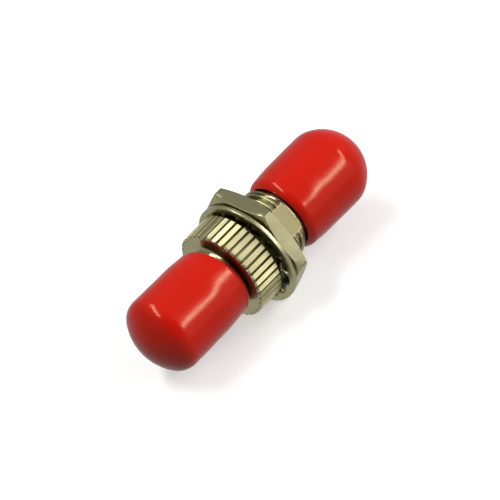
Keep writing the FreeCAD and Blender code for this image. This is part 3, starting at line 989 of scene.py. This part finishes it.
def join_patterns(tree, tones, clouds, shine, gloss=None, relief=None, recess_darkening=None):
    """Joins a material's patterns to its shader. Its colour drifts between two tones with the clouds. Where
    they are given, gloss is a pattern with the least and the most roughness, relief is a pattern with its
    strength and height, and recess_darkening is a colour of painted shade and soiling with the depth of
    recess where it starts."""
    base = add_node(tree, "ShaderNodeMix", {"data_type": "RGBA"}, {
        MIX_SHARE: clouds, MIX_FIRST: opaque(tones[0]), MIX_SECOND: opaque(tones[1])})
    if recess_darkening:
        # darkens the recesses as painted shade, with soiling where the body's recesses hold it
        darkening_colour, start = recess_darkening
        recess = add_node(tree, "ShaderNodeAttribute", {"attribute_name": "recess"})
        darkening = add_node(tree, "ShaderNodeMapRange", {"interpolation_type": "SMOOTHSTEP"}, {
            "Value": recess.outputs["Fac"], "From Min": start, "To Max": DARKENING_COVER})
        base = add_node(tree, "ShaderNodeMix", {"data_type": "RGBA"}, {
            MIX_SHARE: darkening.outputs["Result"],
            MIX_FIRST: base.outputs[MIX_RESULT],
            MIX_SECOND: opaque(darkening_colour)})
    inputs = {"Base Color": base.outputs[MIX_RESULT], **shine}
    if gloss:
        pattern, least, most = gloss
        roughness = add_node(tree, "ShaderNodeMapRange", inputs={
            "Value": pattern, "From Min": NOISE_LOW, "From Max": NOISE_HIGH,
            "To Min": least, "To Max": most})
        inputs["Roughness"] = roughness.outputs["Result"]
    if relief:
        pattern, steepness, height = relief
        bump = add_node(tree, "ShaderNodeBump", inputs={
            "Strength": steepness, "Distance": height, "Height": pattern})
        inputs["Normal"] = bump.outputs["Normal"]
    shader = add_node(tree, "ShaderNodeBsdfPrincipled", inputs=inputs)
    add_node(tree, "ShaderNodeOutputMaterial", inputs={"Surface": shader.outputs["BSDF"]})


def nickel_rings(tree, spot, colours, least_rough, most_rough):
    """Bright nickel over the rings that a lathe tool leaves round the axis, with painted shade and soiling
    in the recesses.
    """
    ring_spacing = 0.1 * MM
    cloud_size = 2.5 * MM
    across = add_node(tree, "ShaderNodeVectorMath", {"operation": "MULTIPLY"}, {0: spot, 1: (0, 1, 1)})
    radius = add_node(tree, "ShaderNodeVectorMath", {"operation": "LENGTH"}, {0: across.outputs["Vector"]})
    axes = add_node(tree, "ShaderNodeSeparateXYZ", inputs={"Vector": spot})
    lathe_spot = add_node(tree, "ShaderNodeCombineXYZ", inputs={
        "X": axes.outputs["X"], "Y": radius.outputs["Value"]})
    rings = add_node(tree, "ShaderNodeTexNoise", inputs={
        "Vector": lathe_spot.outputs["Vector"], "Scale": 1 / ring_spacing, "Detail": 3}).outputs["Fac"]
    clouds = add_node(tree, "ShaderNodeTexNoise", inputs={
        "Vector": spot, "Scale": 1 / cloud_size, "Detail": 3}).outputs["Fac"]
    round_axis = add_node(tree, "ShaderNodeTangent", {"direction_type": "RADIAL", "axis": "X"})
    shine = {
        "Metallic": 1,
        "Anisotropic": 0.8,
        "Anisotropic Rotation": 0.25,
        "Tangent": round_axis.outputs["Tangent"],
    }
    # the recesses darken as painted shade with soiling
    join_patterns(
        tree, (colours.nickel, colours.nickel_dull), clouds, shine,
        gloss=(clouds, least_rough, most_rough),
        relief=(rings, 0.12, 0.02 * MM),
        recess_darkening=(colours.recess_shade_and_dirt, 0.3))


@surface
def nickel_plated_brass_turned(tree, spot, colours):
    """Bright nickel on turned brass. The tool leaves rings as fine as a hair round the axis, which draw
    highlights out along it. Handling dulls it in clouds, and painted shade with soiling darkens the thread's
    roots."""
    nickel_rings(tree, spot, colours, least_rough=0.16, most_rough=0.22)


@surface
def nickel_plated_brass_knurled(tree, spot, colours):
    """Nickel over the knurl. The wheel that rolls the ridges bruises their tops, so that they spread the
    light more than the turned faces, and painted shade with soiling darkens the grooves."""
    nickel_rings(tree, spot, colours, least_rough=0.28, most_rough=0.36)


@surface
def nickel_plated_brass_milled(tree, spot, colours):
    """Nickel over the milled flat of the shank. The cutter leaves a torn, sandy grain that plating doesn't
    level, so it looks matt and pale beside the turned metal."""
    grain_size = 0.16 * MM
    grain = add_node(tree, "ShaderNodeTexNoise", inputs={
        "Vector": spot, "Scale": 1 / grain_size, "Detail": 4, "Roughness": 0.65}).outputs["Fac"]
    join_patterns(
        tree, (shaded(colours.nickel_sandy, 0.75), colours.nickel_sandy), grain, {"Metallic": 1},
        gloss=(grain, 0.4, 0.55),
        relief=(grain, 0.5, 0.03 * MM))


@surface
def nickel_plated_brass_drawn(tree, spot, colours):
    """Nickel over hexagon bar that was drawn through a die. The die leaves faint lines along the bar on the
    flats, and the finish is softer than on turned faces."""
    line_spacing = 0.12 * MM
    cloud_size = 2 * MM
    stretch = (0.05, 1, 1)
    along = add_node(tree, "ShaderNodeVectorMath", {"operation": "MULTIPLY"}, {0: spot, 1: stretch})
    lines = add_node(tree, "ShaderNodeTexNoise", inputs={
        "Vector": along.outputs["Vector"], "Scale": 1 / line_spacing, "Detail": 2}).outputs["Fac"]
    clouds = add_node(tree, "ShaderNodeTexNoise", inputs={
        "Vector": spot, "Scale": 1 / cloud_size, "Detail": 4}).outputs["Fac"]
    join_patterns(
        tree, (colours.nickel, colours.nickel_dull), clouds, {"Metallic": 1},
        gloss=(clouds, 0.14, 0.22),
        relief=(lines, 0.1, 0.02 * MM))


@surface
def spring_steel_stamped_plated(tree, spot, colours):
    """Spring steel, stamped, hardened, tumbled and plated. Tumbling leaves short scratches every way, so its
    shine is even and soft. The teeth darken towards their tips as painted shade."""
    scratch_size = 0.08 * MM
    cloud_size = 1.5 * MM
    scratches = add_node(tree, "ShaderNodeTexNoise", inputs={
        "Vector": spot, "Scale": 1 / scratch_size, "Detail": 4, "Distortion": 1.5}).outputs["Fac"]
    clouds = add_node(tree, "ShaderNodeTexNoise", inputs={
        "Vector": spot, "Scale": 1 / cloud_size, "Detail": 3}).outputs["Fac"]
    # the teeth darken towards their tips as painted shade
    join_patterns(
        tree, (colours.washer, colours.nickel_dull), clouds, {"Metallic": 1},
        gloss=(scratches, 0.2, 0.36),
        relief=(scratches, 0.12, 0.02 * MM),
        recess_darkening=(colours.recess_shade_and_dirt, 0))


@surface
def stainless_steel_ground(tree, spot, colours):
    """Stainless steel rod, ground between wheels: greyer than the nickel, with very fine lines round it."""
    line_spacing = 0.05 * MM
    stretch = (0.1, 1, 0.1)
    round_pin = add_node(tree, "ShaderNodeVectorMath", {"operation": "MULTIPLY"}, {0: spot, 1: stretch})
    lines = add_node(tree, "ShaderNodeTexNoise", inputs={
        "Vector": round_pin.outputs["Vector"], "Scale": 1 / line_spacing, "Detail": 2}).outputs["Fac"]
    join_patterns(
        tree, (colours.pin, colours.nickel_dull), lines, {"Metallic": 1},
        gloss=(lines, 0.18, 0.3),
        relief=(lines, 0.1, 0.01 * MM))


@surface
def zirconia_ground(tree, spot, colours):
    """Zirconia, sintered and ground: dense white with a warm cast and a wet shine, a little see-through."""
    cloud_size = 0.8 * MM
    clouds = add_node(tree, "ShaderNodeTexNoise", inputs={
        "Vector": spot, "Scale": 1 / cloud_size, "Detail": 3}).outputs["Fac"]
    shine = {
        "IOR": 2.15,
        "Subsurface Weight": 0.2,
        "Subsurface Radius": (1, 0.9, 0.8),
        "Subsurface Scale": 0.3 * MM,
    }
    join_patterns(
        tree, (colours.sleeve, shaded(colours.sleeve, 0.92)), clouds, shine, gloss=(clouds, 0.1, 0.2))


@surface
def vinyl_dip_moulded_red(tree, spot, colours):
    """Soft red vinyl, made by dipping a hot former. The outside sets free of any mould, so it is glossy,
    with a slow orange-peel wave and a deeper red where it ran thick."""
    run_size = 5 * MM
    peel_size = 0.9 * MM
    runs = add_node(tree, "ShaderNodeTexNoise", inputs={
        "Vector": spot, "Scale": 1 / run_size, "Detail": 2}).outputs["Fac"]
    peel = add_node(tree, "ShaderNodeTexNoise", inputs={
        "Vector": spot, "Scale": 1 / peel_size, "Detail": 2}).outputs["Fac"]
    shine = {
        "IOR": 1.53,
        "Specular IOR Level": 0.3,
        "Specular Tint": opaque(colours.cap_gloss),
        "Subsurface Weight": 0.15,
        "Subsurface Radius": (1, 0.08, 0.04),
        "Subsurface Scale": 0.5 * MM,
    }
    join_patterns(
        tree, (colours.cap, colours.cap_deep), runs, shine,
        gloss=(peel, 0.15, 0.2),
        relief=(peel, 0.06, 0.1 * MM))


@surface
def paper_matt_pale(tree, spot, colours, glow):
    """Matt pale studio paper, with the faint cloudiness of its fibres. It lies on a light table, so shadows
    on it stay pale."""
    fibre_size = 0.6 * MM
    fibres = add_node(tree, "ShaderNodeTexNoise", inputs={
        "Vector": spot, "Scale": 1 / fibre_size, "Detail": 3}).outputs["Fac"]
    shine = {"Roughness": 0.9, "Emission Color": opaque(colours.floor), "Emission Strength": glow}
    join_patterns(tree, (colours.floor, shaded(colours.floor, 0.985)), fibres, shine)


# Stage

def make_floor(settings):
    low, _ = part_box("lock_washer")
    reach = 3
    level = low.z - settings.stage.floor_gap
    corners = ((-reach, -reach), (reach, -reach), (reach, reach), (-reach, reach))
    floor = new_object("floor", [(along, across, level) for along, across in corners], [(0, 1, 2, 3)])
    floor.data.materials.append(paper_matt_pale(settings.finish, settings.stage.floor_glow))
    # it only shows behind the part: the room stands for what it would throw back up
    floor.visible_diffuse = False
    floor.visible_glossy = False
    floor.visible_shadow = False


def make_room(stage):
    """A plain pale room, which reflections show darkest on the camera's side. It spreads an even light from
    above."""
    world = bpy.data.worlds.new("room")
    world.use_nodes = True
    tree = world.node_tree
    tree.nodes.clear()
    back = camera_back(stage)
    facing = add_node(tree, "ShaderNodeTexCoord").outputs["Generated"]
    height = add_node(tree, "ShaderNodeSeparateXYZ", inputs={"Vector": facing})
    nearness = add_node(tree, "ShaderNodeVectorMath", {"operation": "DOT_PRODUCT"}, {0: facing, 1: back})
    ground = add_node(tree, "ShaderNodeMapRange", {"interpolation_type": "SMOOTHSTEP"}, {
        "Value": height.outputs["Z"], "From Min": -0.5, "From Max": 0.2,
        "To Min": stage.room_ground, "To Max": stage.room_shine})
    shine = add_node(tree, "ShaderNodeMapRange", {"interpolation_type": "SMOOTHSTEP"}, {
        "Value": nearness.outputs["Value"], "From Min": 0.6, "From Max": 0.95,
        "To Min": ground.outputs["Result"], "To Max": stage.room_dark})
    fill = add_node(tree, "ShaderNodeMapRange", {"interpolation_type": "SMOOTHSTEP"}, {
        "Value": height.outputs["Z"], "From Min": -0.3, "From Max": 0.3,
        "To Min": stage.room_low, "To Max": stage.room_fill})
    path = add_node(tree, "ShaderNodeLightPath")
    light = add_node(tree, "ShaderNodeMix", {"data_type": "FLOAT"}, {
        "Factor": path.outputs["Is Diffuse Ray"], "A": shine.outputs["Result"], "B": fill.outputs["Result"]})
    seen = add_node(tree, "ShaderNodeMix", {"data_type": "FLOAT"}, {
        "Factor": path.outputs["Is Camera Ray"], "A": light.outputs["Result"], "B": stage.room_seen})
    sky = add_node(tree, "ShaderNodeBackground", inputs={"Strength": seen.outputs["Result"]})
    add_node(tree, "ShaderNodeOutputWorld", inputs={"Surface": sky.outputs["Background"]})
    bpy.context.scene.world = world


def light_group(name, pieces):
    """A group of things that a lamp can be kept to."""
    group = bpy.data.collections.new(name)
    for piece in pieces:
        group.objects.link(bpy.data.objects[piece])
    return group


def make_lamp(name, direction, along, size, brightness, group=None, mirrored=True):
    """A rectangle of light that faces the part from a metre away, with its long side as given. It is kept to
    a group of pieces where one is given, and a softened one isn't mirrored."""
    lamp = bpy.data.lights.new(name, "AREA")
    lamp.shape = "RECTANGLE"
    lamp.size, lamp.size_y = size
    # the power of a flat lamp is its brightness times pi times its area
    lamp.energy = brightness * math.pi * size[0] * size[1]
    thing = bpy.data.objects.new(name, lamp)
    back = Vector(direction).normalized()
    side = (Vector(along) - back * Vector(along).dot(back)).normalized()
    facing = Matrix((side, back.cross(side), back)).transposed()
    thing.matrix_world = Matrix.Translation(back) @ facing.to_4x4()
    thing.visible_camera = False
    thing.visible_glossy = mirrored
    thing.light_linking.receiver_collection = group
    bpy.context.scene.collection.objects.link(thing)


def camera_back(stage):
    """The way from the part to the camera."""
    level = math.cos(stage.elevation)
    return Vector((
        level * math.sin(stage.azimuth),
        -level * math.cos(stage.azimuth),
        math.sin(stage.elevation),
    ))


def make_camera(stage):
    """A very long lens, because the picture shows hardly any perspective."""
    camera = bpy.data.cameras.new("camera")
    camera.lens = 600
    camera.sensor_width = 36
    distance = stage.field * camera.lens / camera.sensor_width
    back = camera_back(stage)
    turned = back.to_track_quat("Z", "Y") @ Quaternion((0, 0, 1), -stage.roll)
    aim = Vector((stage.aim, 0, 0)) + turned @ Vector((stage.aim_right, -stage.aim_down, 0))
    thing = bpy.data.objects.new("camera", camera)
    thing.rotation_mode = "QUATERNION"
    thing.rotation_quaternion = turned
    thing.location = aim + back * distance
    bpy.context.scene.collection.objects.link(thing)
    bpy.context.scene.camera = thing


def make_stage(settings):
    stage = settings.stage
    make_floor(settings)
    make_room(stage)
    smooth_pieces = light_group("caps_and_washer", ["floor", "front_cap", "rear_cap", "toothed_washer"])
    inner_pieces = ["split_sleeve", "front_holder", "rear_holder"]
    pins = [f"{end}_pin_{side}" for end in ("front", "rear") for side in ("left", "right")]
    body = light_group("body", ["turned_body", *inner_pieces, *pins])
    flat_pieces = light_group("nut_and_washer", ["shank_nut", "toothed_washer"])
    caps = light_group("caps", ["front_cap", "rear_cap"])
    # for each lamp the way to it from the part, the way its long side runs, and its sides in metres
    along = (0.71, 0.7, 0)
    slant = (0.462, 0.783, 0.416)
    axis = (1, 0, 0)
    make_lamp("soft_strip", (0.61, -0.615, 0.52), along, (1.35, 0.2), stage.soft_light, smooth_pieces,
              mirrored=False)
    make_lamp("streak", (0.53, -0.62, 0.578), slant, (0.76, 0.1), stage.streak_light, smooth_pieces)
    make_lamp("side_wall", (0.43, -0.889, 0.157), axis, (0.8, 0.6), stage.side_light, caps)
    make_lamp("top_strip", (-0.145, 0.357, 0.923), along, (0.95, 0.18), stage.top_light)
    make_lamp("card", (0.5, 0.36, 0.79), axis, (0.6, 0.9), stage.card_light, body)
    make_lamp("bright_wall", (0.58, -0.56, 0.59), axis, (0.8, 1.35), stage.bright_light, body)
    make_lamp("wall", (0.43, -0.66, 0.62), axis, (1.2, 1.3), stage.wall_light, flat_pieces)
    make_lamp("table", (0.5, -0.81, -0.3), axis, (0.8, 0.8), stage.table_light, body)
    make_camera(stage)
    bpy.context.scene.view_settings.view_transform = "Standard"


# Operators

class ADAPTER_OT_body(bpy.types.Operator):
    """Makes the turned body with its knurl, thread, flat and keyways"""

    bl_idname = "adapter.body"
    bl_label = "Turned body"

    def execute(self, context):
        make_body(context.scene.adapter)
        return {"FINISHED"}


class ADAPTER_OT_pins(bpy.types.Operator):
    """Makes the four bayonet pins"""

    bl_idname = "adapter.pins"
    bl_label = "Bayonet pins"

    def execute(self, context):
        for end in ("front", "rear"):
            for side in ("left", "right"):
                make_pin(f"{end}_bayonet_pin_{side}", context.scene.adapter)
        return {"FINISHED"}


class ADAPTER_OT_sleeve(bpy.types.Operator):
    """Makes the split alignment sleeve"""

    bl_idname = "adapter.sleeve"
    bl_label = "Alignment sleeve"

    def execute(self, context):
        make_sleeve(context.scene.adapter)
        return {"FINISHED"}


class ADAPTER_OT_holders(bpy.types.Operator):
    """Makes both halves of the sleeve's holder"""

    bl_idname = "adapter.holders"
    bl_label = "Sleeve holders"

    def execute(self, context):
        make_holder("front", FRONT, context.scene.adapter)
        make_holder("rear", REAR, context.scene.adapter)
        return {"FINISHED"}


class ADAPTER_OT_washer(bpy.types.Operator):
    """Makes the lock washer with its twisted teeth"""

    bl_idname = "adapter.washer"
    bl_label = "Lock washer"

    def execute(self, context):
        make_washer(context.scene.adapter)
        return {"FINISHED"}


class ADAPTER_OT_nut(bpy.types.Operator):
    """Makes the hex nut"""

    bl_idname = "adapter.nut"
    bl_label = "Hex nut"

    def execute(self, context):
        make_nut(context.scene.adapter)
        return {"FINISHED"}


class ADAPTER_OT_caps(bpy.types.Operator):
    """Makes both dust caps"""

    bl_idname = "adapter.caps"
    bl_label = "Dust caps"

    def execute(self, context):
        make_cap("front", FRONT, context.scene.adapter)
        make_cap("rear", REAR, context.scene.adapter)
        return {"FINISHED"}


class ADAPTER_OT_stage(bpy.types.Operator):
    """Makes the floor, the light and the camera"""

    bl_idname = "adapter.stage"
    bl_label = "Stage"

    def execute(self, context):
        make_stage(context.scene.adapter)
        return {"FINISHED"}


OPERATORS = (
    ADAPTER_OT_body,
    ADAPTER_OT_pins,
    ADAPTER_OT_sleeve,
    ADAPTER_OT_holders,
    ADAPTER_OT_washer,
    ADAPTER_OT_nut,
    ADAPTER_OT_caps,
    ADAPTER_OT_stage,
)


class ADAPTER_PT_pieces(bpy.types.Panel):
    """The adapter's pieces, sizes and colours"""

    bl_idname = "ADAPTER_PT_pieces"
    bl_label = "Fibre adapter"
    bl_space_type = "VIEW_3D"
    bl_region_type = "UI"
    bl_category = "Adapter"

    def draw(self, context):
        for operator in OPERATORS:
            self.layout.operator(operator.bl_idname)
        for group_name in AdapterSettings.__annotations__:
            group = getattr(context.scene.adapter, group_name)
            box = self.layout.box()
            box.label(text=group.bl_rna.description)
            for field in group.__annotations__:
                box.prop(group, field)


CLASSES = (
    TurnedBodySizes,
    InnerPieceSizes,
    LockWasherSizes,
    HexNutSizes,
    DustCapSizes,
    FinishColours,
    StageSettings,
    AdapterSettings,
    *OPERATORS,
    ADAPTER_PT_pieces,
)


def register():
    for kind in CLASSES:
        bpy.utils.register_class(kind)
    bpy.types.Scene.adapter = PointerProperty(
        name="Adapter", description="Settings of the fibre adapter", type=AdapterSettings)


def unregister():
    del bpy.types.Scene.adapter
    for kind in reversed(CLASSES):
        bpy.utils.unregister_class(kind)


def main():
    register()
    for operator in OPERATORS:
        group, action = operator.bl_idname.split(".")
        getattr(getattr(bpy.ops, group), action)()


if __name__ == "__main__":
    main()
